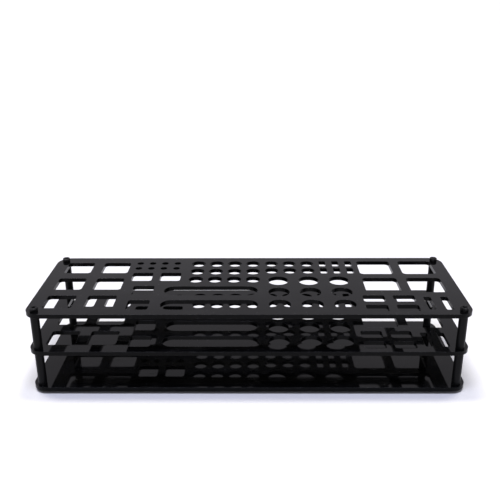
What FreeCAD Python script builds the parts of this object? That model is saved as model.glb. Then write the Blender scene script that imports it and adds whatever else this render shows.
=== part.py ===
import FreeCAD, Part
import math
import os

# Hobby workstation organizer: three black acrylic plates stacked on round
# metal standoffs. The two upper plates carry the same pattern of cut-outs, so
# a handle dropped through both stands upright on the solid base plate.
#
# Millimetres. +Z up, -Y is the front, +X to the right seen from the front.
# The origin is on the surface it stands on, under the middle of the plates.

# ---------------------------------------------------------------- dimensions
PLATE_L = 300.0            # along X
PLATE_D = 100.0            # along Y
PLATE_T = 3.0              # acrylic sheet
CORNER_R = 10.0            # outline corners

POST_D = 6.0               # round standoff
POST_L = 25.0              # standoff length, so the plates repeat every 28 mm
POST_INSET = 6.25          # post axis from each plate edge
POST_CHAMFER = 0.25        # on the standoff's end rims
TAP_DEPTH = 8.5            # blind threaded hole in each standoff end
TAP_R = 1.5                # M3, taken at its nominal diameter
TAP_MOUTH = 0.2            # countersink at the hole's mouth
CLEAR_R = 1.6              # screw hole through a plate

SHANK_R = 1.46             # M3 thread, modelled plain just under nominal
HEAD_R = 2.75              # M3 cylinder head
HEAD_H = 2.5               # screws from above
FOOT_H = 2.0               # screws from below, whose lower heads are the feet
HEAD_RIM = 0.3             # softened crown
HEX = 2.5                  # key socket across flats
HEX_DEPTH = 1.3
HEX_CONE = 0.35            # drill point below the socket
SCREW_LEN = 8.0            # under the head
STUD_LEN = PLATE_T + 2.0 * TAP_DEPTH     # headless screw through the middle plate
STUD_HEX = 1.5
STUD_HEX_DEPTH = 2.0

# heights
Z_BASE = FOOT_H                          # underside of the base plate
Z_LOWER = Z_BASE + PLATE_T               # lower standoffs start
Z_MIDDLE = Z_LOWER + POST_L              # underside of the middle plate
Z_UPPER = Z_MIDDLE + PLATE_T             # upper standoffs start
Z_TOP = Z_UPPER + POST_L                 # underside of the top plate
Z_SURFACE = Z_TOP + PLATE_T              # upper face of the top plate

# ------------------------------------------------- cut-outs of the two plates
# x is measured from the middle, y from the front edge.
# Rectangles: x low, x high, y low, y high, corner radius.
WINDOW_20 = [(x, x + 20.0, y, y + 20.0, 2.2)
             for x in (-140.0, -112.0) for y in (10.0, 40.0, 70.0)]
SQUARE_15 = [(-87.0, -72.0, 55.4, 70.4, 2.0), (-66.0, -51.0, 55.4, 70.4, 2.0),
             (-83.0, -68.0, 31.4, 46.4, 2.0), (-83.0, -68.0, 7.5, 22.5, 2.0)]
LONG_SLOT = [(-60.3, 6.3, 7.5, 22.5, 7.5), (-60.3, 6.3, 30.4, 45.4, 7.5)]
WINDOW_25 = [(x, x + 25.0, y, y + 25.0, 3.0)
             for x in (83.25, 115.25) for y in (35.4, 67.9)]
SLOT_15X10 = [(x, x + 15.0, y, y + 10.0, 1.8)
              for x in (79.25, 100.1) for y in (5.0, 20.1)]
SLOT_5X20 = [(x, x + 5.0, 7.5, 27.5, 1.2) for x in (121.0, 132.7)]
SLOT_5X10 = [(x - 2.5, x + 2.5, y - 5.0, y + 5.0, 1.0)
             for x in (56.35, 66.35, 76.35) for y in (74.2, 88.0)]
# Round holes: x, y, radius.
ROUND_15 = [(x, y, 7.5) for x in (21.3, 43.6, 65.8) for y in (15.6, 35.6, 55.6)]
ROUND_10_5 = [(x, y, 5.25) for x in (-39.2, -25.2, -11.2, 2.8) for y in (57.8, 72.8, 87.8)]
ROUND_10 = [(x, y, 5.0) for x in (17.0, 30.7, 44.4) for y in (74.2, 88.0)]
ROUND_5 = [(x, y, 2.5) for x in (-84.6, -75.0, -65.4, -55.7) for y in (79.0, 88.9)]

RECTANGLES = WINDOW_20 + SQUARE_15 + LONG_SLOT + WINDOW_25 + SLOT_15X10 + SLOT_5X20 + SLOT_5X10
ROUNDS = ROUND_15 + ROUND_10_5 + ROUND_10 + ROUND_5

POST_X = PLATE_L / 2.0 - POST_INSET
POST_Y = PLATE_D / 2.0 - POST_INSET
CORNERS = {
    "front_left": (-POST_X, -POST_Y),
    "front_right": (POST_X, -POST_Y),
    "rear_left": (-POST_X, POST_Y),
    "rear_right": (POST_X, POST_Y),
}


# ------------------------------------------------------------------- helpers
def vec(x, y, z=0.0):
    return FreeCAD.Vector(x, y, z)


def rounded_rect(x0, x1, y0, y1, r, z):
    """Closed outline with tangent corner arcs; full round ends when r is half a side."""
    s = math.sin(math.pi / 4.0)
    corners = [(x1 - r, y0 + r, -90.0), (x1 - r, y1 - r, 0.0),
               (x0 + r, y1 - r, 90.0), (x0 + r, y0 + r, 180.0)]
    edges = []
    ends = []
    for cx, cy, a in corners:
        a0 = math.radians(a)
        a1 = math.radians(a + 45.0)
        a2 = math.radians(a + 90.0)
        p = [vec(cx + r * math.cos(t), cy + r * math.sin(t), z) for t in (a0, a1, a2)]
        ends.append(p)
    for i, p in enumerate(ends):
        edges.append(Part.Arc(p[0], p[1], p[2]).toShape())
        q = ends[(i + 1) % 4][0]
        if p[2].distanceToPoint(q) > 1e-6:
            edges.append(Part.LineSegment(p[2], q).toShape())
    return Part.Wire(Part.__sortEdges__(edges))


def circle(x, y, r, z):
    return Part.Wire([Part.Circle(vec(x, y, z), vec(0, 0, 1), r).toShape()])


def plate(z, perforated):
    """One sheet with its outline, its four screw holes and, if asked, the cut-outs."""
    wires = [rounded_rect(-PLATE_L / 2, PLATE_L / 2, -PLATE_D / 2, PLATE_D / 2, CORNER_R, z)]
    area = PLATE_L * PLATE_D - (4 - math.pi) * CORNER_R ** 2
    for x, y in CORNERS.values():
        wires.append(circle(x, y, CLEAR_R, z))
        area -= math.pi * CLEAR_R ** 2
    if perforated:
        for x0, x1, y0, y1, r in RECTANGLES:
            wires.append(rounded_rect(x0, x1, y0 - PLATE_D / 2, y1 - PLATE_D / 2, r, z))
            area -= (x1 - x0) * (y1 - y0) - (4 - math.pi) * r * r
        for x, y, r in ROUNDS:
            wires.append(circle(x, y - PLATE_D / 2, r, z))
            area -= math.pi * r * r
    face = Part.makeFace(wires, "Part::FaceMakerBullseye")
    solid = face.extrude(vec(0, 0, PLATE_T))
    if solid.ShapeType != "Solid":
        solid = solid.Solids[0]
    assert abs(solid.Volume - area * PLATE_T) < 0.5, (solid.Volume, area * PLATE_T)
    return solid


def turned(profile):
    """Solid of revolution about Z from (radius, height) points."""
    pts = [vec(r, 0, z) for r, z in profile]
    edges = [Part.LineSegment(a, b).toShape() for a, b in zip(pts, pts[1:] + pts[:1])]
    face = Part.Face(Part.Wire(edges))
    return face.revolve(vec(0, 0, 0), vec(0, 0, 1), 360.0)


def hexagon(flats, z0, depth, point=0.0):
    """Hexagonal key socket; with a drilled cone at the blind end if point is given."""
    r = flats / math.sqrt(3.0)
    pts = [vec(r * math.cos(math.radians(60 * i)), r * math.sin(math.radians(60 * i)), z0)
           for i in range(7)]
    pts[6] = pts[0]
    prism = Part.Face(Part.makePolygon(pts)).extrude(vec(0, 0, depth))
    if point:
        rim = flats / 2.0
        if depth > 0:
            cone = Part.makeCone(rim, 0.0, point, vec(0, 0, z0 + depth), vec(0, 0, 1))
        else:
            cone = Part.makeCone(rim, 0.0, point, vec(0, 0, z0 + depth), vec(0, 0, -1))
        prism = prism.fuse(cone)
    return prism


def standoff(x, y, z):
    """Round spacer with a blind threaded hole in each end."""
    r = POST_D / 2.0
    c = POST_CHAMFER
    body = turned([(0, 0), (r - c, 0), (r, c), (r, POST_L - c), (r - c, POST_L), (0, POST_L)])
    low = turned([(0, -1), (TAP_R + TAP_MOUTH, -1), (TAP_R + TAP_MOUTH, 0), (TAP_R, TAP_MOUTH),
                  (TAP_R, TAP_DEPTH), (0, TAP_DEPTH)])
    high = turned([(0, POST_L - TAP_DEPTH), (TAP_R, POST_L - TAP_DEPTH),
                   (TAP_R, POST_L - TAP_MOUTH), (TAP_R + TAP_MOUTH, POST_L),
                   (TAP_R + TAP_MOUTH, POST_L + 1), (0, POST_L + 1)])
    s = body.cut(low).cut(high)
    s.translate(vec(x, y, z))
    return s


def screw(x, y, z, h, up):
    """Cylinder head screw; z is the plate face its head bears on, h the head's height."""
    r, rim = HEAD_R, HEAD_RIM
    crown = []
    for i in range(6):
        a = math.pi / 2.0 * i / 5
        crown.append((r - rim * (1 - math.cos(a)), h - rim * (1 - math.sin(a))))
    s = turned([(0, -SCREW_LEN), (SHANK_R - 0.4, -SCREW_LEN), (SHANK_R, -SCREW_LEN + 0.4),
                (SHANK_R, 0), (r, 0)] + crown + [(0, h)])
    s = s.cut(hexagon(HEX, h, -HEX_DEPTH, HEX_CONE))
    s = s.cut(Part.makeCone(HEX / math.sqrt(3) + 0.02, HEX / 2 - 0.1, 0.22, vec(0, 0, h), vec(0, 0, -1)))
    if not up:
        s.rotate(vec(0, 0, 0), vec(1, 0, 0), 180.0)
    s.translate(vec(x, y, z))
    return s


def stud(x, y, z):
    """Headless screw joining an upper and a lower standoff; z is its lower end."""
    s = turned([(0, 0), (SHANK_R - 0.4, 0), (SHANK_R, 0.4), (SHANK_R, STUD_LEN - 0.4),
                (SHANK_R - 0.4, STUD_LEN), (0, STUD_LEN)])
    s = s.cut(hexagon(STUD_HEX, STUD_LEN, -STUD_HEX_DEPTH))
    s.translate(vec(x, y, z))
    return s


# -------------------------------------------------------------------- pieces
parts = {
    "base_plate": plate(Z_BASE, False),
    "middle_plate": plate(Z_MIDDLE, True),
    "top_plate": plate(Z_TOP, True),
}
for corner, (px, py) in CORNERS.items():
    parts["lower_standoff_" + corner] = standoff(px, py, Z_LOWER)
    parts["upper_standoff_" + corner] = standoff(px, py, Z_UPPER)
    parts["top_screw_" + corner] = screw(px, py, Z_SURFACE, HEAD_H, True)
    parts["bottom_screw_" + corner] = screw(px, py, Z_BASE, FOOT_H, False)
    parts["joining_stud_" + corner] = stud(px, py, Z_MIDDLE - TAP_DEPTH)

os.makedirs("parts", exist_ok=True)
for name in sorted(parts):
    shape = parts[name]
    if shape.ShapeType == "Compound" and len(shape.Solids) == 1:
        shape = shape.Solids[0]
    assert shape.isValid() and len(shape.Solids) == 1, name
    shape.exportStep("parts/" + name + ".step")
    b = shape.BoundBox
    print("%-32s %9.1f mm3  x %.2f..%.2f  y %.2f..%.2f  z %.2f..%.2f" % (
        name, shape.Volume, b.XMin, b.XMax, b.YMin, b.YMax, b.ZMin, b.ZMax))
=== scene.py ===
import math
import bpy
import numpy as np
from mathutils import Matrix, Vector
from mathutils.geometry import delaunay_2d_cdt


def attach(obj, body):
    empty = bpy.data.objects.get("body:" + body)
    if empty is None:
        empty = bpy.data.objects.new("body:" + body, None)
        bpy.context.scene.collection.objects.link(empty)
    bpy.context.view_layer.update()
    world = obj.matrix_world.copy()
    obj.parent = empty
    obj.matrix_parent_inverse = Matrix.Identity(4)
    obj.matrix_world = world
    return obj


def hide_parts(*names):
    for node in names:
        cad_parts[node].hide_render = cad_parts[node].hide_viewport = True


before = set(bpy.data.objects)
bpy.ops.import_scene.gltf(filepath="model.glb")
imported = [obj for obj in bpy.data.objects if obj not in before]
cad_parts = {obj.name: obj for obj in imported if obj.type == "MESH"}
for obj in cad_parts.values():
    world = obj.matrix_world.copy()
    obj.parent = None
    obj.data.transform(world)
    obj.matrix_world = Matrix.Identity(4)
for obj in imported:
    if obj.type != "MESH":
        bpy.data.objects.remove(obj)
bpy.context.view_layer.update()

MM = 0.001

# ------------------------------------------------------------- dimensions, mm
PLATE_L, PLATE_D, PLATE_T, CORNER_R = 300.0, 100.0, 3.0, 10.0
POST_D, POST_L, POST_INSET = 6.0, 25.0, 6.25
TAP_DEPTH, TAP_R, TAP_MOUTH, CLEAR_R = 8.5, 1.5, 0.2, 1.6
HEAD_R, HEAD_H, FOOT_H, HEAD_RIM, HEX, HEX_DEPTH, SCREW_LEN = 2.75, 2.5, 2.0, 0.3, 2.5, 1.3, 8.0
SHANK_R, THREAD_PITCH, THREAD_H = 1.46, 0.5, 0.27

Z_BASE = FOOT_H
Z_LOWER = Z_BASE + PLATE_T
Z_MIDDLE = Z_LOWER + POST_L
Z_UPPER = Z_MIDDLE + PLATE_T
Z_TOP = Z_UPPER + POST_L
Z_SURFACE = Z_TOP + PLATE_T
EDGE_R = 0.12                     # softened rim of a laser-cut sheet

RECTANGLES = [(x, x + 20.0, y, y + 20.0, 2.2) for x in (-140.0, -112.0) for y in (10.0, 40.0, 70.0)]
RECTANGLES += [(-87.0, -72.0, 55.4, 70.4, 2.0), (-66.0, -51.0, 55.4, 70.4, 2.0),
               (-83.0, -68.0, 31.4, 46.4, 2.0), (-83.0, -68.0, 7.5, 22.5, 2.0)]
RECTANGLES += [(-60.3, 6.3, 7.5, 22.5, 7.5), (-60.3, 6.3, 30.4, 45.4, 7.5)]
RECTANGLES += [(x, x + 25.0, y, y + 25.0, 3.0) for x in (83.25, 115.25) for y in (35.4, 67.9)]
RECTANGLES += [(x, x + 15.0, y, y + 10.0, 1.8) for x in (79.25, 100.1) for y in (5.0, 20.1)]
RECTANGLES += [(x, x + 5.0, 7.5, 27.5, 1.2) for x in (121.0, 132.7)]
RECTANGLES += [(x - 2.5, x + 2.5, y - 5.0, y + 5.0, 1.0) for x in (56.35, 66.35, 76.35) for y in (74.2, 88.0)]
ROUNDS = [(x, y, 7.5) for x in (21.3, 43.6, 65.8) for y in (15.6, 35.6, 55.6)]
ROUNDS += [(x, y, 5.25) for x in (-39.2, -25.2, -11.2, 2.8) for y in (57.8, 72.8, 87.8)]
ROUNDS += [(x, y, 5.0) for x in (17.0, 30.7, 44.4) for y in (74.2, 88.0)]
ROUNDS += [(x, y, 2.5) for x in (-84.6, -75.0, -65.4, -55.7) for y in (79.0, 88.9)]

POST_X, POST_Y = PLATE_L / 2 - POST_INSET, PLATE_D / 2 - POST_INSET
CORNERS = {"front_left": (-POST_X, -POST_Y), "front_right": (POST_X, -POST_Y),
           "rear_left": (-POST_X, POST_Y), "rear_right": (POST_X, POST_Y)}


# ------------------------------------------------------------- node materials
class Tree:
    """Small helper round one material's node tree."""

    def __init__(self, name):
        self.mat = bpy.data.materials.new(name)
        self.mat.use_nodes = True
        self.t = self.mat.node_tree
        self.t.nodes.clear()
        self.out = self.t.nodes.new("ShaderNodeOutputMaterial")
        self.bsdf = self.t.nodes.new("ShaderNodeBsdfPrincipled")
        self.t.links.new(self.bsdf.outputs["BSDF"], self.out.inputs["Surface"])
        self.coord = self.t.nodes.new("ShaderNodeTexCoord").outputs["Object"]

    def link(self, a, b):
        self.t.links.new(a, b)

    def mapping(self, scale):
        n = self.t.nodes.new("ShaderNodeMapping")
        n.inputs["Scale"].default_value = scale
        self.link(self.coord, n.inputs["Vector"])
        return n.outputs["Vector"]

    def noise(self, scale, detail=3.0, rough=0.55, vector=None, distortion=0.0):
        n = self.t.nodes.new("ShaderNodeTexNoise")
        n.inputs["Scale"].default_value = scale
        n.inputs["Detail"].default_value = detail
        n.inputs["Roughness"].default_value = rough
        n.inputs["Distortion"].default_value = distortion
        self.link(vector if vector is not None else self.coord, n.inputs["Vector"])
        return n.outputs["Fac"]

    def voronoi(self, scale, vector=None, feature="F1", randomness=1.0):
        n = self.t.nodes.new("ShaderNodeTexVoronoi")
        n.feature = feature
        n.inputs["Scale"].default_value = scale
        n.inputs["Randomness"].default_value = randomness
        self.link(vector if vector is not None else self.coord, n.inputs["Vector"])
        return n

    def ramp(self, value, lo, hi, a=0.0, b=1.0, smooth=True):
        n = self.t.nodes.new("ShaderNodeMapRange")
        if smooth:
            n.interpolation_type = "SMOOTHSTEP"
        n.inputs["From Min"].default_value = lo
        n.inputs["From Max"].default_value = hi
        n.inputs["To Min"].default_value = a
        n.inputs["To Max"].default_value = b
        self.link(value, n.inputs["Value"])
        return n.outputs["Result"]

    def math(self, op, a, b):
        n = self.t.nodes.new("ShaderNodeMath")
        n.operation = op
        for i, v in enumerate((a, b)):
            if isinstance(v, (int, float)):
                n.inputs[i].default_value = v
            else:
                self.link(v, n.inputs[i])
        return n.outputs[0]

    def mix(self, fac, a, b):
        n = self.t.nodes.new("ShaderNodeMix")
        n.data_type = "RGBA"
        self.link(fac, n.inputs[0])
        for i, c in ((6, a), (7, b)):
            if isinstance(c, tuple):
                n.inputs[i].default_value = (*c, 1.0)
            else:
                self.link(c, n.inputs[i])
        return n.outputs[2]

    def attribute(self, name):
        n = self.t.nodes.new("ShaderNodeAttribute")
        n.attribute_type = "GEOMETRY"
        n.attribute_name = name
        return n.outputs["Fac"]

    def bump(self, height, strength, distance, before=None):
        n = self.t.nodes.new("ShaderNodeBump")
        n.inputs["Strength"].default_value = strength
        n.inputs["Distance"].default_value = distance
        self.link(height, n.inputs["Height"])
        if before is not None:
            self.link(before, n.inputs["Normal"])
        return n.outputs["Normal"]

    def set(self, **kw):
        for k, v in kw.items():
            s = self.bsdf.inputs[k.replace("_", " ")]
            if hasattr(v, "is_linked"):
                self.link(v, s)
            else:
                s.default_value = (*v, 1.0) if isinstance(v, tuple) else v
        return self


def acrylic_face():
    """Polished face of black cast sheet: nearly mirror smooth, with fine
    handling scratches, a film of dust in patches and scattered dust grains."""
    t = Tree("black_acrylic_face")
    # patches of film and wiped streaks
    film = t.ramp(t.noise(38.0, 4.0, 0.6, distortion=0.6), 0.42, 0.75)
    wiped = t.ramp(t.noise(1.0, 3.0, 0.6, t.mapping((55.0, 420.0, 55.0))), 0.35, 0.8)
    # grains: the core of a cell, kept in about one cell in five
    v = t.voronoi(520.0)
    core = t.ramp(v.outputs["Distance"], 0.05, 0.11, 1.0, 0.0)
    keep = t.t.nodes.new("ShaderNodeSeparateColor")
    t.link(v.outputs["Color"], keep.inputs[0])
    some = t.ramp(keep.outputs[0], 0.80, 0.86)
    grain = t.math("MULTIPLY", core, some)
    fleck = t.voronoi(1500.0)
    pick = t.t.nodes.new("ShaderNodeSeparateColor")
    t.link(fleck.outputs["Color"], pick.inputs[0])
    fine_dust = t.math("MULTIPLY", t.ramp(fleck.outputs["Distance"], 0.06, 0.16, 1.0, 0.0), t.ramp(pick.outputs[1], 0.86, 0.93))
    fine_dust = t.math("MULTIPLY", fine_dust, t.ramp(t.noise(21.0, 3.0), 0.40, 0.66, 0.15, 1.0))
    grain = t.math("MAXIMUM", grain, t.math("MULTIPLY", fine_dust, 0.55))
    # hairlines: thin iso-lines of stretched noise in two directions
    def hair(scale, lo):
        n = t.noise(1.0, 2.0, 0.5, t.mapping(scale), distortion=0.3)
        d = t.math("ABSOLUTE", t.math("SUBTRACT", n, 0.5), 0.0)
        line = t.ramp(d, 0.0, 0.006, 1.0, 0.0)
        return t.math("MULTIPLY", line, t.ramp(t.noise(90.0, 2.0), lo, lo + 0.12))
    hairs = t.math("MAXIMUM", hair((30.0, 260.0, 60.0), 0.55), hair((300.0, 45.0, 60.0), 0.58))
    dust = t.math("ADD", t.math("MULTIPLY", film, 0.0022), t.math("MULTIPLY", grain, 0.12))
    dust = t.math("ADD", dust, t.math("MULTIPLY", hairs, 0.011))
    dust = t.math("ADD", dust, t.math("MULTIPLY", wiped, 0.0008))
    colour = t.mix(dust, (0.0008, 0.0008, 0.0009), (0.62, 0.62, 0.64))
    rough = t.math("ADD", 0.035, t.math("MULTIPLY", film, 0.03))
    rough = t.math("ADD", rough, t.math("MULTIPLY", wiped, 0.02))
    rough = t.math("ADD", rough, t.math("MULTIPLY", hairs, 0.18))
    wave = t.bump(t.noise(26.0, 1.0), 0.25, 0.00004)
    fine = t.bump(hairs, 0.5, 0.000008, wave)
    t.set(Base_Color=colour, Roughness=rough, Normal=fine, IOR=1.49)
    t.set(Specular_IOR_Level=ACRYLIC_SPEC)
    return t.mat


def acrylic_cut():
    """Laser-cut wall: glossy but finely fluted along the beam, a little duller
    at the side where the beam left the sheet."""
    t = Tree("black_acrylic_cut_edge")
    flutes = t.noise(1.0, 3.0, 0.6, t.mapping((2600.0, 2600.0, 70.0)))
    coarse = t.noise(1.0, 2.0, 0.5, t.mapping((420.0, 420.0, 40.0)))
    film = t.noise(300.0, 3.0, 0.6)
    beam = t.noise(1.0, 2.0, 0.5, t.mapping((1150.0, 1150.0, 25.0)), distortion=0.15)
    height = t.math("ADD", t.math("MULTIPLY", flutes, 0.35), t.math("MULTIPLY", coarse, 0.30))
    height = t.math("ADD", height, t.math("MULTIPLY", beam, 0.35))
    # the marked rims get a lighter colour: partly a rubbed edge, partly a painted rim highlight
    wear_and_highlight = t.attribute("wear_and_highlight")
    worn_and_highlit = t.math("MULTIPLY", wear_and_highlight, t.ramp(film, 0.35, 0.75, 0.15, 1.0))
    tone = t.math("ADD", t.math("MULTIPLY", worn_and_highlit, 0.035), t.math("MULTIPLY", t.ramp(film, 0.45, 0.8), 0.004))
    colour = t.mix(tone, (0.0010, 0.0010, 0.0011), (0.55, 0.55, 0.57))
    rough = t.math("ADD", 0.10, t.math("MULTIPLY", coarse, 0.14))
    rough = t.math("ADD", rough, t.math("MULTIPLY", t.ramp(beam, 0.35, 0.65), 0.07))
    rough = t.math("ADD", rough, t.math("MULTIPLY", worn_and_highlit, 0.12))
    t.set(Base_Color=colour, Roughness=rough, Normal=t.bump(height, 0.8, 0.00004), IOR=1.49)
    t.set(Specular_IOR_Level=CUT_SPEC)
    return t.mat


def anodised():
    """Black anodised standoff: satin, with fine rings from turning; the end chamfers are
    lightened, partly as colour rubbed thin and partly as a painted highlight."""
    t = Tree("black_anodised_standoff")
    rings = t.noise(1.0, 2.0, 0.6, t.mapping((14.0, 14.0, 9000.0)))
    broad = t.noise(1.0, 3.0, 0.6, t.mapping((160.0, 160.0, 900.0)))
    turned = t.noise(1.0, 1.0, 0.5, t.mapping((8.0, 8.0, 2300.0)))
    rubbed = t.ramp(t.noise(1.0, 3.0, 0.6, t.mapping((420.0, 420.0, 95.0)), distortion=0.4), 0.62, 0.74)
    patch = t.noise(240.0, 3.0, 0.6)
    # lighter end chamfers: rubbed anodising plus a painted highlight
    wear_and_highlight = t.attribute("wear_and_highlight")
    worn_and_highlit = t.math("MULTIPLY", wear_and_highlight, t.ramp(patch, 0.4, 0.7, 0.1, 1.0))
    tone = t.math("ADD", t.math("MULTIPLY", worn_and_highlit, 0.09), t.math("MULTIPLY", broad, 0.004))
    tone = t.math("ADD", tone, t.math("MULTIPLY", rubbed, 0.006))
    tone = t.math("ADD", tone, t.math("MULTIPLY", t.ramp(rings, 0.4, 0.7), 0.003))
    colour = t.mix(tone, POST_COLOUR, (0.42, 0.42, 0.44))
    rough = t.math("ADD", 0.26, t.math("MULTIPLY", broad, 0.12))
    rough = t.math("ADD", rough, t.math("MULTIPLY", t.ramp(turned, 0.35, 0.65), 0.10))
    rough = t.math("SUBTRACT", rough, t.math("MULTIPLY", rubbed, 0.07))
    lathe = t.bump(turned, 0.35, 0.00002, t.bump(rings, 0.5, 0.00001))
    t.set(Base_Color=colour, Roughness=rough, Normal=lathe, IOR=1.45)
    t.set(Specular_IOR_Level=POST_SPEC)
    return t.mat


def black_oxide():
    """Black oxide on steel: dark, slightly mottled, oiled, lighter on the rims,
    partly where a key has rubbed them and partly as a painted highlight."""
    t = Tree("black_oxide_screw")
    mottle = t.noise(900.0, 4.0, 0.65)
    patch = t.noise(340.0, 3.0, 0.6)
    # lighter crown and socket rims: rubbed oxide plus a painted rim highlight
    wear_and_highlight = t.attribute("wear_and_highlight")
    worn_and_highlit = t.math("MULTIPLY", wear_and_highlight, t.ramp(patch, 0.4, 0.7, 0.12, 1.0))
    tone = t.math("ADD", t.math("MULTIPLY", worn_and_highlit, 0.10), t.math("MULTIPLY", t.ramp(mottle, 0.45, 0.8), 0.010))
    colour = t.mix(tone, (0.0015, 0.0015, 0.0016), (0.45, 0.44, 0.43))
    rough = t.math("ADD", 0.15, t.math("MULTIPLY", mottle, 0.20))
    t.set(Base_Color=colour, Roughness=rough, Normal=t.bump(mottle, 0.5, 0.000014), IOR=1.5)
    t.set(Specular_IOR_Level=SCREW_SPEC)
    return t.mat


ACRYLIC_SPEC, CUT_SPEC = 0.168, 0.082
POST_COLOUR, POST_SPEC, SCREW_SPEC = (0.0022, 0.0022, 0.0025), 0.12, 0.055
FACE, CUT, POST, SCREW = acrylic_face(), acrylic_cut(), anodised(), black_oxide()


# --------------------------------------------------------------- mesh helpers
def finish_piece(name, verts, faces, materials, normals=None, index=None, wear_and_highlight=None,
                 sharp=None, nodes=()):
    me = bpy.data.meshes.new(name)
    me.from_pydata([tuple(v) for v in verts], [], faces)
    for m in materials:
        me.materials.append(m)
    if index is not None:
        me.polygons.foreach_set("material_index", index)
    if wear_and_highlight is not None:
        a = me.attributes.new("wear_and_highlight", "FLOAT", "POINT")
        a.data.foreach_set("value", np.asarray(wear_and_highlight, dtype=np.float32))
    me.shade_smooth()
    if sharp is not None:
        me.set_sharp_from_angle(angle=math.radians(sharp))
    me.update()
    if normals is not None:
        me.normals_split_custom_set_from_vertices([tuple(n) for n in normals])
    ob = bpy.data.objects.new(name, me)
    bpy.context.scene.collection.objects.link(ob)
    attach(ob, "root")
    if nodes:
        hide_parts(*nodes)
    return ob


def rounded_loop(x0, x1, y0, y1, r, step):
    """Points and outward normals round a rounded rectangle, anticlockwise."""
    pts, nrm = [], []
    n = max(6, int(math.ceil(math.pi / 2 * r / step)))
    cs = [(x1 - r, y0 + r, -90.0), (x1 - r, y1 - r, 0.0), (x0 + r, y1 - r, 90.0), (x0 + r, y0 + r, 180.0)]
    for cx, cy, a in cs:
        for i in range(n + 1):
            t = math.radians(a + 90.0 * i / n)
            pts.append((cx + r * math.cos(t), cy + r * math.sin(t)))
            nrm.append((math.cos(t), math.sin(t)))
    keep = [i for i in range(len(pts)) if math.dist(pts[i], pts[i - 1]) > 1e-6]
    return np.array([pts[i] for i in keep]), np.array([nrm[i] for i in keep])


def round_loop(x, y, r, n):
    t = np.arange(n) * 2 * math.pi / n
    d = np.stack([np.cos(t), np.sin(t)], -1)
    return np.array([x, y]) + r * d, d


def inside(loop, pts):
    """Even-odd test of points against one closed loop."""
    a, b = loop, np.roll(loop, -1, 0)
    x, y = pts[:, 0][:, None], pts[:, 1][:, None]
    up = (a[None, :, 1] > y) != (b[None, :, 1] > y)
    with np.errstate(divide="ignore", invalid="ignore"):
        xc = a[None, :, 0] + (y - a[None, :, 1]) * (b[None, :, 0] - a[None, :, 0]) / (b[None, :, 1] - a[None, :, 1])
    return (np.sum(up & (x < xc), axis=1) % 2) == 1


def plate(name, z0, perforated):
    """A sheet with softened rims. Each loop runs from the upper face over the
    rim, down the wall and round the lower rim, with exact normals."""
    loops = []                                     # points, outward-of-material normals, is outline
    p, n = rounded_loop(-PLATE_L / 2, PLATE_L / 2, -PLATE_D / 2, PLATE_D / 2, CORNER_R, 0.5)
    loops.append((p, n))
    for x, y in CORNERS.values():
        p, n = round_loop(x, y, CLEAR_R, 32)
        loops.append((p[::-1], -n[::-1]))
    if perforated:
        for x0, x1, y0, y1, r in RECTANGLES:
            p, n = rounded_loop(x0, x1, y0 - PLATE_D / 2, y1 - PLATE_D / 2, r, 0.35)
            loops.append((p[::-1], -n[::-1]))
        for x, y, r in ROUNDS:
            p, n = round_loop(x, y - PLATE_D / 2, r, 64 if r > 3 else 40)
            loops.append((p[::-1], -n[::-1]))
    zt, zb, e, k = z0 + PLATE_T, z0, EDGE_R, 3
    rings = [(e * (1 - math.sin(t)), zt - e * (1 - math.cos(t)), math.sin(t), math.cos(t))
             for t in [math.pi / 2 * i / k for i in range(k + 1)]]
    rings += [(e * (1 - math.sin(t)), zb + e * (1 - math.cos(t)), math.sin(t), -math.cos(t))
              for t in [math.pi / 2 * (k - i) / k for i in range(k + 1)]]
    verts, normals, faces, index, wear_and_highlight = [], [], [], [], []
    top_ids, bottom_ids, flat2d = [], [], []
    for p, n in loops:
        m = len(p)
        first = len(verts)
        for inset, z, s, c in rings:
            q = p - n * inset
            for i in range(m):
                verts.append((q[i, 0] * MM, q[i, 1] * MM, z * MM))
                normals.append((n[i, 0] * s, n[i, 1] * s, c))
                # rounded rims are marked here; their colour is lightened later, partly as a rubbed edge and partly
                # as a painted rim highlight
                wear_and_highlight.append(1.0 if 0.2 < s < 0.99 else 0.0)
        for j in range(len(rings) - 1):
            for i in range(m):
                a, b = first + j * m + i, first + j * m + (i + 1) % m
                faces.append((a, a + m, b + m, b))
                index.append(1)
        top_ids.append([first + i for i in range(m)])
        bottom_ids.append([first + (len(rings) - 1) * m + i for i in range(m)])
        flat2d.append(p - n * rings[0][0])
    pts = np.concatenate(flat2d)
    edges, start = [], 0
    for q in flat2d:
        m = len(q)
        edges += [(start + i, start + (i + 1) % m) for i in range(m)]
        start += m
    out = delaunay_2d_cdt([Vector(v) for v in pts], edges, [], 0, 1e-7, True)
    vco = np.array([tuple(v) for v in out[0]])
    orig = [o[0] for o in out[3]]
    tri = np.array([f for f in out[2]])
    mid = vco[tri].mean(1)
    ok = inside(flat2d[0], mid)
    for q in flat2d[1:]:
        ok &= ~inside(q, mid)
    top, bottom = sum(top_ids, []), sum(bottom_ids, [])
    for f in tri[ok]:
        a, b, c = [orig[i] for i in f]
        u, v = pts[b] - pts[a], pts[c] - pts[a]
        if u[0] * v[1] - u[1] * v[0] < 0:
            b, c = c, b
        faces.append((top[a], top[b], top[c])); index.append(0)
        faces.append((bottom[a], bottom[c], bottom[b])); index.append(0)
    return finish_piece(name + "_sheet", verts, faces, [FACE, CUT], normals, index, wear_and_highlight, nodes=(name,))


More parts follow.
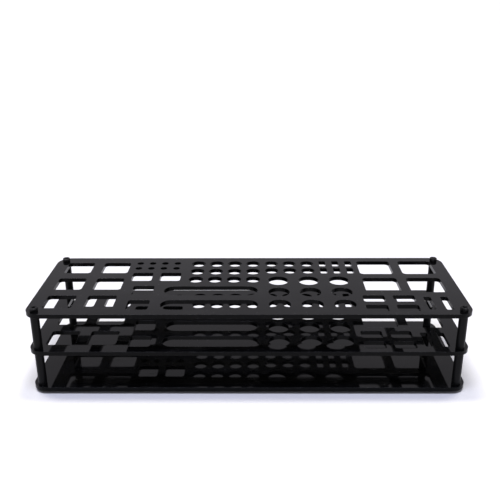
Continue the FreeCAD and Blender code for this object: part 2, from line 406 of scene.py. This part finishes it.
def stack(rings, centre_z):
    """Closed skin through rings of equal count, capped by a fan at each end."""
    m = len(rings[0])
    verts = [tuple(v) for r in rings for v in r]
    faces = []
    for j in range(len(rings) - 1):
        for i in range(m):
            a, b = j * m + i, j * m + (i + 1) % m
            faces.append((a, b, b + m, a + m))
    lo, hi = len(verts), len(verts) + 1
    verts += [(0.0, 0.0, centre_z[0]), (0.0, 0.0, centre_z[1])]
    last = (len(rings) - 1) * m
    for i in range(m):
        faces.append((lo, (i + 1) % m, i))
        faces.append((hi, last + i, last + (i + 1) % m))
    return verts, faces


def ring(m, radius, z):
    t = np.arange(m) * 2 * math.pi / m
    r = radius(t) if callable(radius) else np.full(m, radius)
    return np.stack([r * np.cos(t), r * np.sin(t), np.full(m, z)], -1)


def hexagon(flats):
    return lambda t: flats / 2 / np.cos((t + math.pi / 6) % (math.pi / 3) - math.pi / 6)


def placed(verts, x, y, z, turn=0.0):
    v = np.array(verts)
    c, s = math.cos(turn), math.sin(turn)
    return np.stack([(v[:, 0] * c - v[:, 1] * s + x) * MM, (v[:, 0] * s + v[:, 1] * c + y) * MM, (v[:, 2] + z) * MM], -1)


def supported(profile, near=0.05, longest=0.35):
    """Adds points close to both ends of long runs, so shading stays flat there."""
    out = [profile[0]]
    for a, b in zip(profile, profile[1:]):
        d = math.dist(a[:2], b[:2])
        if d > longest:
            for f in (near / d, 1 - near / d):
                out.append((a[0] + (b[0] - a[0]) * f, a[1] + (b[1] - a[1]) * f, 0.0))
        out.append(b)
    return out


def standoff(name, x, y, z):
    """Turned spacer: chamfered rims with softened corners, tapped hole in each end."""
    r, c, s = POST_D / 2, 0.25, 0.05
    # the third figure of each point sets how much the colour is lightened there, most on the end chamfers: rubbed
    # anodising plus a painted highlight
    low = [(TAP_R, TAP_DEPTH, 0), (TAP_R, TAP_MOUTH, 0), (TAP_R + TAP_MOUTH, 0, 0.3), (r - c - s, 0, 0.4),
           (r - c + 0.3 * s, 0.012, 1.0), (r - c * 0.5, c * 0.5 - 0.01, 1.0), (r - 0.012, c - 0.3 * s, 1.0), (r, c + s, 0.5)]
    profile = low + [(a, POST_L - b, w) for a, b, w in reversed(low)]
    profile = supported(profile)
    rings = [ring(72, a, b) for a, b, w in profile]
    verts, faces = stack(rings, (TAP_DEPTH, POST_L - TAP_DEPTH))
    faces = [f[::-1] for f in faces]
    wear_and_highlight = [w for a, b, w in profile for _ in range(72)] + [0.0, 0.0]
    return finish_piece(name + "_spacer", placed(verts, x, y, z), [f[::-1] for f in faces], [POST], wear_and_highlight=wear_and_highlight,
                        sharp=35, nodes=(name,))


def thread(m, length, tip=0.4):
    """Rings of a shank from its tip at z = -length up to z = 0."""
    out = []
    steps = int(round((length - tip) / (THREAD_PITCH / 4)))
    t = np.arange(m) * 2 * math.pi / m
    for i in range(steps + 1):
        z = -length + tip + (length - tip - 0.15) * i / steps
        f = (z / THREAD_PITCH - t / (2 * math.pi)) % 1.0
        depth = THREAD_H * np.abs(2 * f - 1)
        out.append(np.stack([(SHANK_R - depth) * np.cos(t), (SHANK_R - depth) * np.sin(t), np.full(m, z)], -1))
    return [ring(m, SHANK_R - 0.45, -length), ring(m, SHANK_R - 0.30, -length + 0.2)] + out + [ring(m, SHANK_R - 0.05, 0.0)]


def screw(name, x, y, z, turn, h, up):
    """Low cylinder head screw: knurled side, softened crown and a chamfered key
    socket. Built head up; the lower ones are turned over and serve as feet."""
    m, r = 96, HEAD_R
    def knurl(t):
        return r - 0.07 * (np.arange(len(t)) % 2)
    rings = thread(m, SCREW_LEN)
    wear_and_highlight = [0.0] * len(rings)
    def add(radius, zz, w=0.0):
        rings.append(ring(m, radius, zz))
        wear_and_highlight.append(w)
    # the third figure given to add sets how much the colour is lightened on that ring, most on the crown: rubbed
    # black oxide plus a painted rim highlight
    add(SHANK_R + 0.05, 0.0)
    add(r - 0.16, 0.0)
    add(r - 0.09, 0.04)
    add(r - 0.075, 0.20, 0.3)
    add(knurl, 0.30, 0.35)
    add(knurl, h / 2 - 0.1, 0.45)
    add(knurl, h - 0.56, 0.55)
    add(r - 0.075, h - 0.46, 0.6)
    for i in range(6):                                   # crown
        a = math.pi / 2 * i / 5
        add(r - 0.075 - HEAD_RIM * (1 - math.cos(a)), h - HEAD_RIM * (1 - math.sin(a)), 0.9 - 0.12 * i)
    add(r - 0.075 - HEAD_RIM - 0.12, h, 0.1)
    add(HEX / math.sqrt(3) + 0.12, h, 0.1)
    add(HEX / math.sqrt(3) + 0.05, h - 0.01, 0.4)
    add(HEX / math.sqrt(3) + 0.01, h - 0.05, 0.5)
    add(hexagon(HEX), h - 0.20, 0.5)
    add(hexagon(HEX), h - 0.28, 0.2)
    add(hexagon(HEX), h - HEX_DEPTH + 0.06)
    add(hexagon(HEX * 0.97), h - HEX_DEPTH)
    add(HEX / 2 * 0.93, h - HEX_DEPTH)
    verts, faces = stack(rings, (-SCREW_LEN, h - HEX_DEPTH - 0.35))
    v = np.array(verts)
    if not up:
        v[:, 1:] *= -1.0                                   # half a turn about X
    w = [a for a in wear_and_highlight for _ in range(m)] + [0.0, 0.0]
    return finish_piece(name + "_machine_screw", placed(v, x, y, z, turn), faces, [SCREW], wear_and_highlight=w,
                        sharp=38, nodes=(name,))


# --------------------------------------------------------------------- pieces
plate("base_plate", Z_BASE, False)
plate("middle_plate", Z_MIDDLE, True)
plate("top_plate", Z_TOP, True)
TURNS = {"front_left": 0.35, "front_right": 1.1, "rear_left": 0.8, "rear_right": 0.1}
for corner, (px, py) in CORNERS.items():
    standoff("lower_standoff_" + corner, px, py, Z_LOWER)
    standoff("upper_standoff_" + corner, px, py, Z_UPPER)
    screw("top_screw_" + corner, px, py, Z_SURFACE, TURNS[corner], HEAD_H, True)
    screw("bottom_screw_" + corner, px, py, Z_BASE, TURNS[corner] + 0.5, FOOT_H, False)
    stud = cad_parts["joining_stud_" + corner]
    if stud.material_slots:
        for s in stud.material_slots:
            s.material = SCREW
    else:
        stud.data.materials.append(SCREW)

# ------------------------------------------------------------ floor and light
FLOOR = Tree("pale_floor")
grain = FLOOR.noise(900.0, 2.0)
FLOOR.set(Base_Color=FLOOR.mix(FLOOR.ramp(grain, 0.3, 0.7), (0.41, 0.41, 0.41), (0.43, 0.43, 0.43)),
          Roughness=0.40, IOR=1.45)
FLOOR.set(Specular_IOR_Level=0.2)
me = bpy.data.meshes.new("floor")
S = 60.0
me.from_pydata([(-S, -S, 0), (S, -S, 0), (S, S, 0), (-S, S, 0)], [], [(0, 1, 2, 3)])
me.materials.append(FLOOR.mat)
floor = bpy.data.objects.new("floor", me)
bpy.context.scene.collection.objects.link(floor)

world = bpy.data.worlds.new("studio")
world.use_nodes = True
bg = world.node_tree.nodes["Background"]
# the room's fill is a little cooler from the front than from behind
wt = world.node_tree
way = wt.nodes.new("ShaderNodeTexCoord")
axes = wt.nodes.new("ShaderNodeSeparateXYZ")
wt.links.new(way.outputs["Generated"], axes.inputs[0])
turn = wt.nodes.new("ShaderNodeMapRange")
turn.inputs["From Min"].default_value = -0.55
turn.inputs["From Max"].default_value = 0.15
wt.links.new(axes.outputs["Y"], turn.inputs["Value"])
fill = wt.nodes.new("ShaderNodeMix")
fill.data_type = "RGBA"
wt.links.new(turn.outputs["Result"], fill.inputs[0])
fill.inputs[6].default_value = (0.975, 1.00, 1.13, 1.0)
fill.inputs[7].default_value = (1.0, 0.97, 1.045, 1.0)
# and brightens towards the horizon, so the backdrop runs into the floor like a sweep
height = wt.nodes.new("ShaderNodeMath")
height.operation = "ABSOLUTE"
wt.links.new(axes.outputs["Z"], height.inputs[0])
rise = wt.nodes.new("ShaderNodeMapRange")
rise.interpolation_type = "SMOOTHSTEP"
rise.inputs["From Min"].default_value = 0.02
rise.inputs["From Max"].default_value = 0.24
wt.links.new(height.outputs[0], rise.inputs["Value"])
sweep = wt.nodes.new("ShaderNodeMix")
sweep.data_type = "RGBA"
wt.links.new(rise.outputs["Result"], sweep.inputs[0])
sweep.inputs[6].default_value = (1.68, 1.68, 1.68, 1.0)
wt.links.new(fill.outputs[2], sweep.inputs[7])
wt.links.new(sweep.outputs[2], bg.inputs["Color"])
bg.inputs["Strength"].default_value = 0.60
bpy.context.scene.world = world

def softbox(name, energy, size, way, colour):
    light = bpy.data.lights.new(name, "SUN")
    light.energy = energy
    light.angle = math.radians(size)
    light.color = colour
    ob = bpy.data.objects.new(name, light)
    ob.rotation_euler = Vector(way).normalized().to_track_quat("-Z", "Y").to_euler()
    ob.location = (0.0, 0.0, 2.0)
    bpy.context.scene.collection.objects.link(ob)


softbox("rear_left_near", 1.10, 7.0, (0.13, -0.145, -1.0), (1.0, 0.95, 0.84))
softbox("rear_left_far", 1.10, 7.0, (0.25, -0.145, -1.0), (1.0, 0.95, 0.84))
softbox("rear_right", 1.55, 8.0, (-0.16, -0.145, -1.0), (1.0, 0.95, 0.84))
softbox("front_left", 1.95, 15.0, (0.20, 0.17, -1.0), (0.95, 0.98, 1.24))
softbox("front_right", 1.40, 14.0, (-0.17, 0.15, -1.0), (0.95, 0.98, 1.24))

# --------------------------------------------------------------------- camera
def camera():
    pitch, yaw, roll = 0.3703, 0.0078, -0.0039
    cp, sp = math.cos(pitch), math.sin(pitch)
    cy, sy = math.cos(yaw), math.sin(yaw)
    right = Vector((cy, sy, 0.0))
    ahead = Vector((-cp * sy, cp * cy, -sp))
    up = Vector((-sp * sy, sp * cy, cp))
    r = right * math.cos(roll) + up * math.sin(roll)
    u = up * math.cos(roll) - right * math.sin(roll)
    cam = bpy.data.cameras.new("camera")
    cam.sensor_fit = "HORIZONTAL"
    cam.sensor_width = 36.0
    cam.lens = 50.009
    cam.clip_start, cam.clip_end = 0.01, 200.0
    ob = bpy.data.objects.new("camera", cam)
    m = Matrix((r, u, -ahead)).transposed().to_4x4()
    m.translation = Vector((4.3882, -461.1558, 266.6796)) * MM
    ob.matrix_world = m
    bpy.context.scene.collection.objects.link(ob)
    bpy.context.scene.camera = ob


camera()
view = bpy.context.scene.view_settings
view.view_transform = "Standard"
view.look = "None"
view.exposure = 0.0
view.gamma = 1.0
